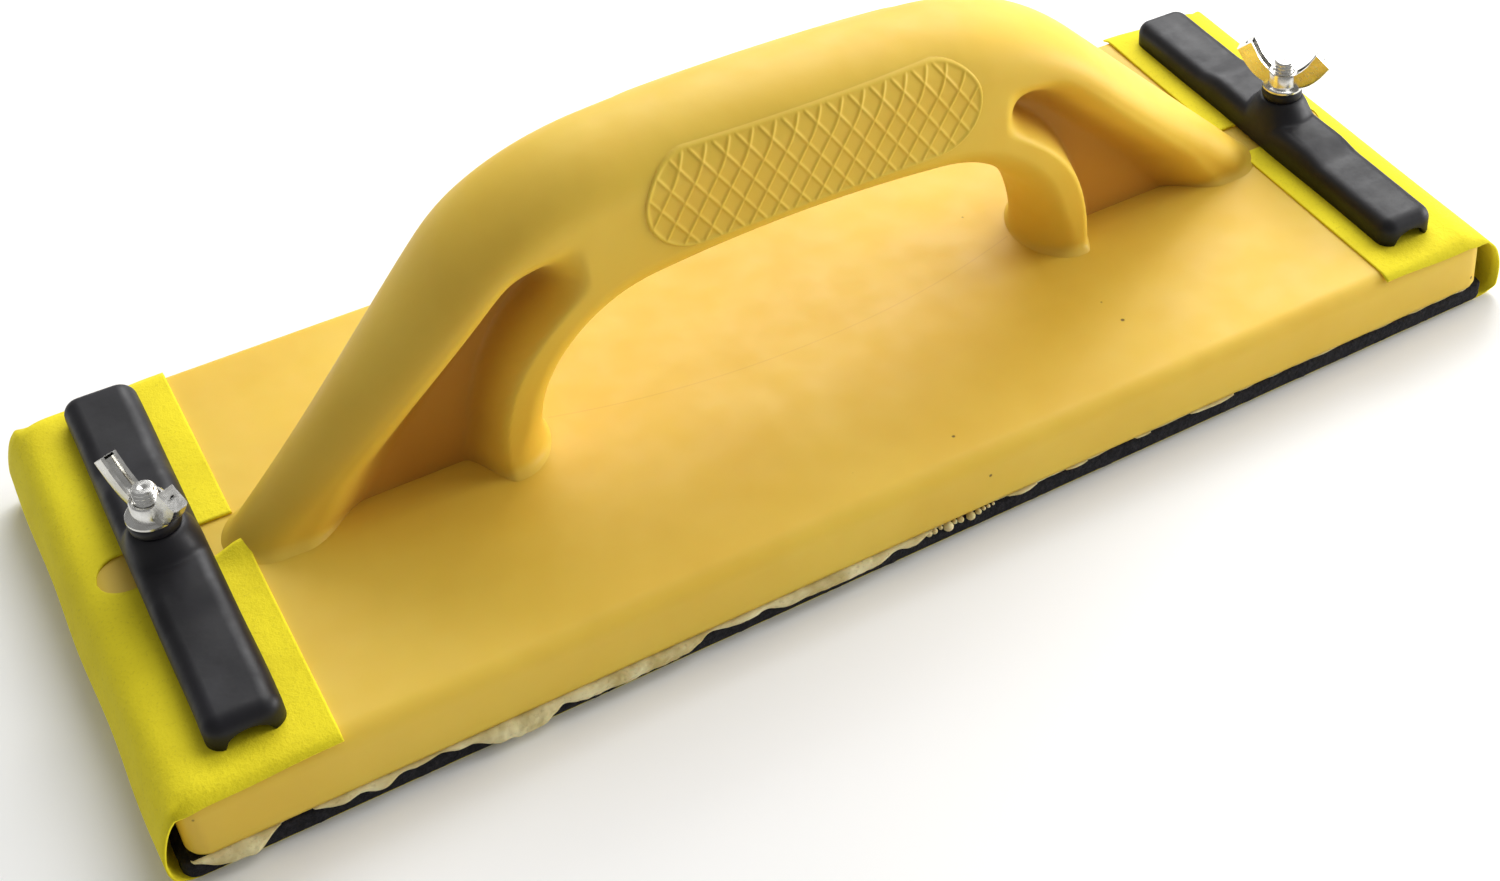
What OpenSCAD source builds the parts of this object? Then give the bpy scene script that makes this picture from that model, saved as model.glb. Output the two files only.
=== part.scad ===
// Hand sanding float: foam-moulded plate with D-handle, rubber pad and an
// abrasive sheet held at both ends by clamp bars under wing nuts.
// X runs along the length, Z is up, the sheet rests on z = 0. Units: mm.

/* [Plate] */
// Length of the moulded plate
plate_l = 320; // [310:1:330]
// Width of the moulded plate
plate_w = 125; // [120:1:130]
// Thickness of the moulded plate
plate_t = 15.2; // [15:0.1:18]
// Radius of the plate's top and corner edges
plate_edge_r = 4.5; // [3:0.1:6]

/* [Pad] */
// Length of the rubber pad
pad_l = 324; // [318:1:324]
// Width of the rubber pad
pad_w = 124; // [118:1:126]
// Thickness of the rubber pad
pad_t = 4.4; // [3:0.1:6]
// Thickness of the foam bond above the pad
bond_t = 0.6; // [0.4:0.1:1]
// How far the squeezed-out bond stands proud of the pad
bead_out = 1.6; // [0.5:0.1:2]

/* [Sheet] */
// Thickness of the abrasive sheet
sheet_t = 0.6; // [0.4:0.1:1]
// Width of the abrasive sheet
sheet_w = 124; // [120:1:124]
// Overall length with both ends folded up
sheet_l = 330; // [329:0.5:331]
// Distance between the two folded-over ends
sheet_gap = 256; // [252:1:258]
// Width of the slot that passes the bolt
sheet_slot_w = 10.6; // [10:0.1:12]
// Sideways offset of the slots, which are cut by eye
sheet_slot_y = 2.7; // [0:0.1:2.7]

/* [Handle] */
// Overall height, sheet to top of grip
handle_h = 94.2; // [92:0.1:97]
// Width of the hand grip
grip_w = 31; // [29:0.5:34]
// Width of each handle foot
foot_w = 17; // [16:0.5:20]
// Length of the finger opening
grip_opening_l = 124; // [120:1:126]
// Height of the opening's top above the rest face
grip_opening_h = 59; // [57:0.5:61]
// Thickness of the web between the two side pockets
web_t = 4.5; // [4:0.5:6]
// Length of the knurled panel
panel_l = 80; // [74:1:84]
// Height of the knurled panel
panel_h = 23; // [20:0.5:24]
// How far the panel stands proud
panel_t = 0.4; // [0.3:0.05:0.8]

/* [Clamp] */
// Distance from the centre to each bolt
bolt_x = 142.2; // [141:0.1:143.5]
// Length of a clamp bar
bar_l = 109.4; // [100:0.5:114]
// Width of a clamp bar
bar_w = 15.4; // [15:0.1:16.5]
// Height of a clamp bar's ends
bar_h = 6.7; // [6:0.1:8]
// Wall thickness of a clamp bar
bar_wall = 1.5; // [1.2:0.1:2]
// Height of the raised middle above the bar's ends
bar_rise = 1.2; // [0.8:0.1:1.6]
// Height of the pressed boss above the raised middle
boss_h = 4.3; // [3.5:0.1:5]
// Diameter of the pressed boss
boss_d = 13; // [12.5:0.1:14]
// Diameter of the washer
washer_d = 10.4; // [10:0.1:12]
// Thickness of the washer
washer_t = 2.4; // [1:0.1:2.5]
// Bolt thread diameter
bolt_d = 5; // [4.8:0.1:5]
// Height of the bolt tip above the rest face
bolt_top = 44; // [43:0.1:46]
// Span of the wing nut over both wings
wing_span = 25; // [24:0.5:26]
// Turning angle of the left wing nut as clamped
left_wing_turn = -67; // [-180:0.5:180]
// Turning angle of the right wing nut as clamped
right_wing_turn = -53.8; // [-180:0.5:180]

/* [Hidden] */
$fn = 64;

yellow = [0.86, 0.66, 0.27];
paper = [0.90, 0.80, 0.14];
black = [0.09, 0.09, 0.10];
foam = [0.82, 0.76, 0.52];
zinc = [0.72, 0.72, 0.70];

pad_z = sheet_t;
bond_z = pad_z + pad_t;
plate_z = bond_z + bond_t;
plate_top = plate_z + plate_t;
bar_z = plate_top + sheet_t;
bar_mid_top = bar_z + bar_h + bar_rise;
boss_top = bar_mid_top + boss_h;
nut_z = boss_top + washer_t;

// bolt, nut and their seats
bolt_clear = 0.05;
bolt_head_z = plate_z + 3;
bolt_head_h = 3.5;
bolt_head_d = 9.2;
anchor_side = 26;
anchor_t = 1.5;
bar_hole_d = bolt_d + 0.6;
washer_hole_d = bolt_d + 0.3;
nut_flange_d = 10.6;
nut_flange_t = 1.1;
nut_collar_d = 7;
nut_h = 4.2;
wing_t = 0.8;
wing_w = 3.4;
wing_r = wing_span / 2;

// handle outline: crown arc, shoulder arcs and straight 45 degree legs
crown_r = 450;
crown_half = 5;
shoulder_r = 62.9;
shoulder_x = (crown_r - shoulder_r) * sin(crown_half);
shoulder_z = handle_h - crown_r + (crown_r - shoulder_r) * cos(crown_half);
leg_x = shoulder_x + shoulder_r * sin(45);
leg_z = shoulder_z + shoulder_r * cos(45);
foot_x = leg_x + leg_z - plate_top;
foot_r = foot_w / 2;
leg_depth = 10;
opening_crown_r = 300;
opening_r = 31;
opening_half = grip_opening_l / 2;
opening_side = opening_half - opening_r;
opening_mid = sqrt(pow(opening_crown_r - opening_r, 2) - pow(opening_side, 2));
opening_z = grip_opening_h - opening_crown_r + opening_mid;
post_t = 14;
grip_edge_r = 9;
fuse = 0.5;

// folded sheet, measured to its outer face
fold_x = sheet_l / 2;
fold_r_top = 7;
fold_r_bottom = 2.5;
foot_relief = 0.5;

// Rounded plan outline centred on the origin.
module rounded_plan(l, w, r) {
    union() {
        square([l - 2 * r, w], center = true);
        square([l, w - 2 * r], center = true);
        for (sx = [-1, 1])
            for (sy = [-1, 1])
                translate([sx * (l / 2 - r), sy * (w / 2 - r)])
                    circle(r);
    }
}

// Block with upright rounded corners and a fully rounded top rim.
module domed_block(l, w, h, r) {
    linear_extrude(h - r)
        rounded_plan(l, w, r);
    translate([0, 0, h - r - fuse])
        linear_extrude(r + fuse)
            square([l - 2 * r, w - 2 * r], center = true);
    for (s = [-1, 1]) {
        translate([0, s * (w / 2 - r), h - r])
            rotate([0, 90, 0])
                cylinder(h = l - 2 * r, r = r, center = true);
        translate([s * (l / 2 - r), 0, h - r])
            rotate([90, 0, 0])
                cylinder(h = w - 2 * r, r = r, center = true);
    }
    for (sx = [-1, 1])
        for (sy = [-1, 1])
            translate([sx * (l / 2 - r), sy * (w / 2 - r), h - r])
                sphere(r);
}

// Places a drawing made in side view (X, Z) so that it is width w thick in Y.
module side_slab(w) {
    rotate([90, 0, 0])
        linear_extrude(w, center = true)
            children();
}

// Outer side outline of the handle, from the plate to the crown.
module handle_outline() {
    intersection() {
        translate([0, handle_h - crown_r])
            circle(crown_r, $fn = 360);
        union() {
            polygon([[-foot_x - fuse, plate_top - fuse], [-leg_x, leg_z],
                     [-shoulder_x, handle_h + fuse], [shoulder_x, handle_h + fuse],
                     [leg_x, leg_z], [foot_x + fuse, plate_top - fuse]]);
            for (s = [-1, 1])
                translate([s * shoulder_x, shoulder_z])
                    circle(shoulder_r, $fn = 180);
        }
        translate([-foot_x - fuse, plate_top - fuse])
            square([2 * (foot_x + fuse), handle_h]);
    }
}

// Side outline of the finger opening.
module opening_outline() {
    intersection() {
        translate([0, grip_opening_h - opening_crown_r])
            circle(opening_crown_r, $fn = 360);
        union() {
            translate([-opening_half, plate_top])
                square([grip_opening_l, opening_z - plate_top]);
            translate([-opening_side, plate_top])
                square([2 * opening_side, grip_opening_h]);
            for (s = [-1, 1])
                translate([s * opening_side, opening_z])
                    circle(opening_r, $fn = 128);
        }
        translate([-opening_half, plate_top])
            square([grip_opening_l, grip_opening_h]);
    }
}

// Side outline of one pocket between the leg and the inner post.
module pocket_outline() {
    post_x = opening_half + post_t;
    rim = leg_x + leg_z - leg_depth * sqrt(2);
    difference() {
        polygon([[post_x, plate_top], [rim - plate_top, plate_top],
                 [rim - 62, 62], [opening_half + 6, 70], [opening_half + 1, 66],
                 [post_x, 40]]);
        translate([post_x - 9, 36])
            circle(9.5);
    }
}

// Full handle blank: wide over the grip, narrowing down each leg to its foot.
module handle_blank() {
    intersection() {
        side_slab(grip_w)
            handle_outline();
        translate([0, 0, plate_top - fuse])
            linear_extrude(handle_h)
                union() {
                    square([2 * 84, grip_w], center = true);
                    for (s = [-1, 1]) {
                        polygon([[s * 83, -grip_w / 2], [s * 108, -foot_w / 2],
                                 [s * (foot_x - foot_r), -foot_w / 2],
                                 [s * (foot_x - foot_r), foot_w / 2],
                                 [s * 108, foot_w / 2], [s * 83, grip_w / 2]]);
                        translate([s * (foot_x - foot_r), 0])
                            circle(foot_r);
                    }
                }
        grip_section();
    }
}

// Rounds the long edges of the crown and of both straight legs.
module grip_section() {
    half = grip_w / 2;
    flat = half - grip_edge_r;
    union() {
        side_slab(2 * flat)
            handle_outline();
        translate([0, 0, handle_h - crown_r])
            rotate([90, 0, 0])
                rotate_extrude($fn = 360)
                    union() {
                        for (s = [-1, 1])
                            translate([crown_r - grip_edge_r, s * flat])
                                circle(grip_edge_r);
                        translate([crown_r - 90, -half])
                            square([90 - grip_edge_r, grip_w]);
                    }
    }
}

// Oval panel with a raised rim and crossed ribs on one side of the grip.
module grip_panel() {
    end_r = panel_h / 2;
    rim = 1.2;
    rib = 0.7;
    pitch = 5.5;
    count = ceil(panel_l / pitch);
    module stadium(inset) {
        for (s = [-1, 1])
            translate([s * (panel_l / 2 - end_r), 0])
                circle(end_r - inset);
        square([panel_l - panel_h, panel_h - 2 * inset], center = true);
    }
    linear_extrude(panel_t, center = true) {
        difference() {
            stadium(0);
            stadium(rim);
        }
        intersection() {
            stadium(rim / 2);
            union()
                for (a = [-32, 32])
                    for (i = [-count:count])
                        translate([i * pitch, 0])
                            rotate(90 + a)
                                square([2 * panel_l, rib], center = true);
        }
    }
}

// D-handle: blank less the finger opening and the four side pockets.
module handle() {
    difference() {
        handle_blank();
        side_slab(grip_w + 2)
            opening_outline();
        for (sx = [0, 1])
            for (sy = [-1, 1])
                mirror([sx, 0, 0])
                    translate([0, sy * (web_t / 2 + grip_w / 2), 0])
                        side_slab(grip_w)
                            pocket_outline();
    }
    for (sy = [-1, 1])
        translate([0, sy * grip_w / 2, (handle_h + grip_opening_h) / 2])
            rotate([90, 0, 0])
                grip_panel();
}

// One-shot foam moulding: plate and handle, cast around both bolts.
module float_body() {
    color(yellow)
        difference() {
            union() {
                translate([0, 0, plate_z])
                    domed_block(plate_l, plate_w, plate_t, plate_edge_r);
                handle();
            }
            for (s = [-1, 1])
                translate([s * bolt_x, 0, 0]) {
                    translate([0, 0, bolt_head_z])
                        cylinder(h = plate_top, r = bolt_d / 2);
                    translate([0, 0, bolt_head_z])
                        cylinder(h = bolt_head_h, d = bolt_head_d, $fn = 6);
                    translate([0, 0, bolt_head_z + bolt_head_h + anchor_t / 2])
                        cube([anchor_side, anchor_side, anchor_t], center = true);
                }
        }
}

// Foam bond line with the bead squeezed out along the front edge.
module bond_foam() {
    bead_l = 200;
    bead_x = -55;
    color(foam) {
        translate([0, 0, bond_z])
            linear_extrude(bond_t)
                rounded_plan(pad_l - 6, pad_w - 2, plate_edge_r);
        translate([bead_x, -pad_w / 2 - bead_out / 2 - 0.02, bond_z - 1.5 + bond_t / 2])
            cube([bead_l, bead_out, 3 + bond_t], center = true);
        translate([bead_x, -pad_w / 2, bond_z + bond_t / 2])
            cube([bead_l, 2 * bead_out, bond_t], center = true);
    }
}

// Black rubber backing pad.
module rubber_pad() {
    color(black)
        translate([0, 0, pad_z])
            linear_extrude(pad_t)
                rounded_plan(pad_l, pad_w, 3);
}

// Side outline of the abrasive sheet's outer face at one end, grown by d.
module sheet_outline(d) {
    top = bar_z - (sheet_t - d);
    low = sheet_t - d;
    inner = fold_x - (sheet_t - d);
    union() {
        translate([0, low])
            square([inner - fold_r_bottom, top - low]);
        translate([inner - fold_r_top, low + fold_r_bottom])
            square([fold_r_top, top - low - fold_r_top - fold_r_bottom]);
        translate([inner - fold_r_top - fuse, top - fold_r_top])
            circle(fold_r_top, $fn = 96);
        translate([inner - fold_r_top, top - fold_r_top])
            circle(fold_r_top, $fn = 96);
        translate([inner - fold_r_bottom, low + fold_r_bottom])
            circle(fold_r_bottom);
    }
}

// Abrasive strip: under the pad, up both ends and flat on the plate.
module abrasive_sheet() {
    half_gap = sheet_gap / 2;
    slot_r = sheet_slot_w / 2;
    slot_end = bolt_x + 9;
    color(paper)
        difference() {
            side_slab(sheet_w)
                difference() {
                    union() {
                        sheet_outline(sheet_t);
                        mirror([1, 0])
                            sheet_outline(sheet_t);
                    }
                    sheet_outline(0);
                    mirror([1, 0])
                        sheet_outline(0);
                    translate([-half_gap, sheet_t])
                        square([sheet_gap, bar_z]);
                }
            for (s = [-1, 1]) {
                translate([s * slot_end, sheet_slot_y, plate_top - fuse])
                    cylinder(h = 3, r = slot_r);
                translate([s * (slot_end + half_gap) / 2, sheet_slot_y, plate_top + 1])
                    cube([slot_end - half_gap + fuse, sheet_slot_w, 3], center = true);
                translate([s * (foot_x - foot_r), 0, plate_top - fuse])
                    cylinder(h = 3, r = foot_r + foot_relief);
            }
        }
}

// Upright envelope of a clamp bar, inset by d on every outer face.
module bar_shell(d) {
    l = bar_l - 2 * d;
    w = bar_w - 2 * d;
    h = bar_h - d;
    shoulder = 3.2 - min(d, 1);
    module run(length, height) {
        rotate([90, 0, 0])
            linear_extrude(length, center = true)
                union() {
                    translate([-w / 2, -fuse * d])
                        square([w, height - shoulder + fuse * d]);
                    translate([-w / 2 + shoulder, 0])
                        square([w - 2 * shoulder, height]);
                    for (s = [-1, 1])
                        translate([s * (w / 2 - shoulder), height - shoulder])
                            circle(shoulder);
                }
    }
    run(l, h);
    run(44, h + bar_rise);
    cylinder(h = h + bar_rise + boss_h, d = boss_d - 2 * d);
}

// Pressed channel bar with a domed boss that carries the washer.
module clamp_bar() {
    notch_r = 4.5;
    difference() {
        bar_shell(0);
        bar_shell(bar_wall);
        cylinder(h = 30, d = bar_hole_d);
        for (s = [-1, 1])
            translate([0, s * bar_l / 2, 0])
                rotate([90, 0, 0])
                    cylinder(h = 4, r = notch_r, center = true);
    }
}

// Flat washer.
module washer() {
    difference() {
        cylinder(h = washer_t, d = washer_d);
        translate([0, 0, -fuse])
            cylinder(h = washer_t + 1, d = washer_hole_d);
    }
}

// One wing: a tray of sheet metal, open on its upper side.
module wing() {
    difference() {
        side_slab(wing_w)
            polygon([[3, 0.4], [4.6, 0.6], [7.2, 2], [9.9, 4.8], [wing_r, 8.8],
                     [wing_r - 3.9, 12], [6.4, 8.2], [4.2, 5.5], [3, 4.2]]);
        side_slab(wing_w - 2 * wing_t)
            polygon([[4.4, 2.2], [6.7, 3.2], [9.2, 5.8], [wing_r - 1.1, 8.3],
                     [wing_r - 4.5, 11.5], [6.5, 13], [3.8, 8]]);
    }
}

// Stamped wing nut with flange, collar and two wings.
module wing_nut() {
    difference() {
        union() {
            cylinder(h = nut_flange_t, d = nut_flange_d);
            cylinder(h = nut_h, d = nut_collar_d);
            wing();
            rotate([0, 0, 180])
                wing();
        }
        translate([0, 0, -fuse])
            cylinder(h = 20, d = bolt_d + 2 * bolt_clear);
    }
}

// Bolt with its hexagon head at the bottom and a chamfered tip.
module bolt() {
    tip = 0.8;
    translate([0, 0, bolt_head_z])
        cylinder(h = bolt_head_h, d = bolt_head_d, $fn = 6);
    translate([0, 0, bolt_head_z + bolt_head_h - fuse])
        cylinder(h = bolt_top - tip - bolt_head_z - bolt_head_h + fuse, d = bolt_d);
    translate([0, 0, bolt_top - tip])
        cylinder(h = tip, d1 = bolt_d, d2 = bolt_d - 2 * tip);
}

// Square plate that spreads the bolt's pull inside the foam.
module anchor_plate() {
    translate([0, 0, bolt_head_z + bolt_head_h])
        difference() {
            translate([0, 0, anchor_t / 2])
                cube([anchor_side, anchor_side, anchor_t], center = true);
            translate([0, 0, -fuse])
                cylinder(h = anchor_t + 1, d = bolt_d);
        }
}

// Moves a piece drawn round the origin onto one bolt's axis.
module at_bolt(side, z) {
    translate([side * bolt_x, 0, z])
        children();
}

module left_clamp_bar() {
    color(black)
        at_bolt(-1, bar_z)
            clamp_bar();
}

module right_clamp_bar() {
    color(black)
        at_bolt(1, bar_z)
            clamp_bar();
}

module left_washer() {
    color(black)
        at_bolt(-1, boss_top)
            washer();
}

module right_washer() {
    color(black)
        at_bolt(1, boss_top)
            washer();
}

module left_wing_nut() {
    color(zinc)
        at_bolt(-1, nut_z)
            rotate([0, 0, left_wing_turn])
                wing_nut();
}

module right_wing_nut() {
    color(zinc)
        at_bolt(1, nut_z)
            rotate([0, 0, right_wing_turn])
                wing_nut();
}

module left_bolt() {
    color(zinc)
        at_bolt(-1, 0)
            bolt();
}

module right_bolt() {
    color(zinc)
        at_bolt(1, 0)
            bolt();
}

module left_anchor_plate() {
    color(zinc)
        at_bolt(-1, 0)
            anchor_plate();
}

module right_anchor_plate() {
    color(zinc)
        at_bolt(1, 0)
            anchor_plate();
}

float_body();
bond_foam();
rubber_pad();
abrasive_sheet();
left_clamp_bar();
right_clamp_bar();
left_washer();
right_washer();
left_wing_nut();
right_wing_nut();
left_bolt();
right_bolt();
left_anchor_plate();
right_anchor_plate();
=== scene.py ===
import math

import bmesh
import bpy
import numpy as np
from mathutils import Matrix, Vector


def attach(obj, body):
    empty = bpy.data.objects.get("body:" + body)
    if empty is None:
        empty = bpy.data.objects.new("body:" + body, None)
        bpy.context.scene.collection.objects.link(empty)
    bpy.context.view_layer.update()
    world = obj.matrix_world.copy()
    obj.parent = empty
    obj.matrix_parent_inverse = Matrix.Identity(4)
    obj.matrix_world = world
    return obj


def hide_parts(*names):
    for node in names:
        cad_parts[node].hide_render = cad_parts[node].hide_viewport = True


# A sanding float: polyurethane plate with D-handle, rubber pad, abrasive sheet and two clamps.
# All shapes are worked out in the part's own frame in millimetres, and makePiece turns them to metres.

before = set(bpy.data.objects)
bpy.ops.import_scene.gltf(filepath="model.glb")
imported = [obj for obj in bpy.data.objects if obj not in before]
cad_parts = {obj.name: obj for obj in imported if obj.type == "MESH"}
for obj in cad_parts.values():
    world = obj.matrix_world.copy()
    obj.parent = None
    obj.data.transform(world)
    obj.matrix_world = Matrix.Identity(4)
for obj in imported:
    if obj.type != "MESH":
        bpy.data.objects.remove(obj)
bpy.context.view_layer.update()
plateTop = 20.8  # height of the plate's flat top
boltX = 142.2    # distance from the centre to each bolt


def ease(low, high, x):
    # 0 below low, 1 above high, 3t^2 - 2t^3 between
    t = np.clip((x - low) / (high - low), 0, 1)
    return t * t * (3 - 2 * t)


def roundOver(q):
    # quarter circle: 0 with a vertical tangent at q = 0, 1 from q = 1 on
    return np.sqrt(1 - (1 - np.clip(q, 0, 1)) ** 2)


def arc(cx, cy, r, a0, a1, n):
    # points of a circular arc, angles in degrees from the first axis
    a = np.radians(np.linspace(a0, a1, n))
    return np.stack([cx + r * np.cos(a), cy + r * np.sin(a)], 1)


def bezier(p0, p1, p2, n):
    # quadratic curve (1-t)^2 p0 + 2t(1-t) p1 + t^2 p2
    t = np.linspace(0, 1, n)[:, None]
    p0, p1, p2 = (np.array(p, float) for p in (p0, p1, p2))
    return (1 - t) ** 2 * p0 + 2 * t * (1 - t) * p1 + t * t * p2


def evenly(path, n):
    # the same polyline resampled to n points of equal spacing along its length
    path = np.asarray(path, float)
    step = np.r_[0, np.cumsum(np.linalg.norm(np.diff(path, axis=0), axis=1))]
    s = np.linspace(0, step[-1], n)
    return np.stack([np.interp(s, step, path[:, k]) for k in range(path.shape[1])], 1)


def distanceTo(path, x, y):
    # shortest distance from each point (x, y) to a polyline's segments, taken a few segments at a time
    out = np.full(x.size, 1e9)
    fx, fy = x.ravel()[:, None], y.ravel()[:, None]
    a, ab = path[:-1], np.diff(path, axis=0)
    for k in range(0, len(a), 30):
        ax, ay, bx, by = a[k:k + 30, 0], a[k:k + 30, 1], ab[k:k + 30, 0], ab[k:k + 30, 1]
        t = np.clip(((fx - ax) * bx + (fy - ay) * by) / (bx ** 2 + by ** 2), 0, 1)
        out = np.minimum(out, ((fx - ax - t * bx) ** 2 + (fy - ay - t * by) ** 2).min(1))
    return np.sqrt(out).reshape(x.shape)


def waves(seed, x, y, size, count=7):
    # sum of sine waves of random direction, wavelengths near size, about -1..1
    r = np.random.default_rng(seed)
    total = np.zeros(np.broadcast(x, y).shape)
    for k in range(count):
        heading, phase = r.uniform(0, 2 * np.pi), r.uniform(0, 2 * np.pi)
        pace = r.uniform(0.6, 1.6) * 2 * np.pi / size
        total += np.sin(pace * (x * np.cos(heading) + y * np.sin(heading)) + phase)
    return total / count * 1.6


def gridQuads(rows, cols, start=0, wrapRows=False, wrapCols=False):
    # corner numbers of the quads of a rows x cols grid of points
    i, j = np.meshgrid(np.arange(rows if wrapRows else rows - 1),
                       np.arange(cols if wrapCols else cols - 1), indexing="ij")
    i2, j2 = (i + 1) % rows, (j + 1) % cols
    return start + np.stack([i * cols + j, i * cols + j2, i2 * cols + j2, i2 * cols + j], -1).reshape(-1, 4)


def makePiece(name, parts, material, body, nodes=(), weld=0.02, sharp=None, attributes=None):
    # one mesh from grids of points[rows, cols, 3] in mm, each with whether its rows and columns close up;
    # doubles within weld mm are merged, and edges past sharp degrees stay hard
    points, quads, start = [], [], 0
    for p, wrapRows, wrapCols in parts:
        quads.append(gridQuads(p.shape[0], p.shape[1], start, wrapRows, wrapCols))
        points.append(p.reshape(-1, 3))
        start += len(points[-1])
    points, quads = np.concatenate(points), np.concatenate(quads)
    mesh = bpy.data.meshes.new(name)
    mesh.vertices.add(len(points))
    mesh.vertices.foreach_set("co", (points * 0.001).astype(np.float32).ravel())
    mesh.loops.add(quads.size)
    mesh.loops.foreach_set("vertex_index", quads.astype(np.int32).ravel())
    mesh.polygons.add(len(quads))
    mesh.polygons.foreach_set("loop_start", np.arange(0, quads.size, 4, dtype=np.int32))
    mesh.update(calc_edges=True)
    for key, values in (attributes or {}).items():
        layer = mesh.attributes.new(key, "FLOAT", "POINT")
        layer.data.foreach_set("value", np.asarray(values, np.float32).ravel())
    work = bmesh.new()
    work.from_mesh(mesh)
    bmesh.ops.remove_doubles(work, verts=work.verts, dist=weld * 0.001)
    bmesh.ops.dissolve_degenerate(work, dist=1e-7, edges=work.edges)
    bmesh.ops.recalc_face_normals(work, faces=work.faces)
    work.to_mesh(mesh)
    work.free()
    mesh.polygons.foreach_set("use_smooth", np.ones(len(mesh.polygons), bool))
    if sharp:
        mesh.set_sharp_from_angle(angle=math.radians(sharp))
    piece = bpy.data.objects.new(name, mesh)
    bpy.context.scene.collection.objects.link(piece)
    mesh.materials.append(material)
    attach(piece, body)
    if nodes:
        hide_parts(*nodes)
    print("made", name, len(mesh.polygons), "faces")
    return piece


def addModifier(piece, name, kind, **settings):
    m = piece.modifiers.new(name, kind)
    for key, value in settings.items():
        setattr(m, key, value)
    return m


def turned(profile, count, x0=0.0, y0=0.0):
    # a lathe: profile rows (radius, z) carried round a vertical axis at (x0, y0)
    a = np.linspace(0, 2 * np.pi, count, endpoint=False)
    r, z = np.asarray(profile, float)[:, 0, None], np.asarray(profile, float)[:, 1, None]
    return np.stack([x0 + r * np.cos(a), y0 + r * np.sin(a), z + 0 * a], -1)


def ringedPlan(length, width, radius, insets, heights, perSide=(60, 30), perCorner=10):
    # a rounded rectangle's outline, drawn in by each inset and set at each height, as rows of a grid
    rows = []
    for inset, height in zip(insets, heights):
        r = max(radius - inset, 1e-3)
        hx, hy = length / 2 - inset - r, width / 2 - inset - r
        ring = []
        corners = [(hx, hy, 0), (-hx, hy, 90), (-hx, -hy, 180), (hx, -hy, 270)]
        for k, (cx, cy, a) in enumerate(corners):
            ring.append(arc(cx, cy, r, a, a + 90, perCorner))
            nextCorner = corners[(k + 1) % 4]
            end = arc(nextCorner[0], nextCorner[1], r, a + 90, a + 90, 1)[0]
            n = perSide[0] if k % 2 == 0 else perSide[1]
            t = np.linspace(0, 1, n + 2)[1:-1, None]
            ring.append(ring[-1][-1] * (1 - t) + end * t)
        ring = np.concatenate(ring)
        rows.append(np.c_[ring, np.full(len(ring), height)])
    return np.stack(rows)


def srgb(code):
    # hex sRGB colour to linear RGBA
    c = np.array([int(code[k:k + 2], 16) for k in (1, 3, 5)]) / 255
    return (*np.where(c <= 0.04045, c / 12.92, ((c + 0.055) / 1.055) ** 2.4).tolist(), 1.0)


def addNode(tree, kind, links=None, **settings):
    # one node: its settings by name, and links gives each input a socket to follow or a value
    node = tree.nodes.new(kind)
    for key, value in settings.items():
        setattr(node, key, value)
    for key, value in (links or {}).items():
        socket = node.inputs[key]  # a name, or a number where names repeat
        if isinstance(value, bpy.types.NodeSocket):
            tree.links.new(value, socket)
        else:
            socket.default_value = value
    return node


def startMaterial(name, **sockets):
    # a principled material whose uniform values sit on the shader, and the object's own coordinates
    material = bpy.data.materials.new(name)
    material.use_nodes = True
    tree = material.node_tree
    shader = tree.nodes["Principled BSDF"]
    for key, value in sockets.items():
        shader.inputs[key.replace("_", " ")].default_value = value
    place = addNode(tree, "ShaderNodeTexCoord").outputs["Object"]
    return material, tree, shader, place


def noise(tree, place, sizeMm, detail=3.0, roughness=0.5):
    # grain of about sizeMm across
    return addNode(tree, "ShaderNodeTexNoise", {"Vector": place, "Scale": 1000 / sizeMm, "Detail": detail,
                                                "Roughness": roughness}).outputs["Fac"]


def remap(tree, value, low, high, toLow=0.0, toHigh=1.0):
    return addNode(tree, "ShaderNodeMapRange", {"Value": value, "From Min": low, "From Max": high,
                                                "To Min": toLow, "To Max": toHigh}).outputs["Result"]


def blendColour(tree, amount, first, second):
    # a socket or a linear colour on each side, mixed by amount
    return addNode(tree, "ShaderNodeMix", {0: amount, 6: first, 7: second}, data_type="RGBA").outputs[2]


def maths(tree, how, *values):
    return addNode(tree, "ShaderNodeMath", dict(enumerate(values)), operation=how).outputs[0]


def bump(tree, shader, height, distanceMm, strength=1.0):
    links = {"Height": height, "Distance": distanceMm * 0.001, "Strength": strength}
    tree.links.new(addNode(tree, "ShaderNodeBump", links).outputs["Normal"], shader.inputs["Normal"])


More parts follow.
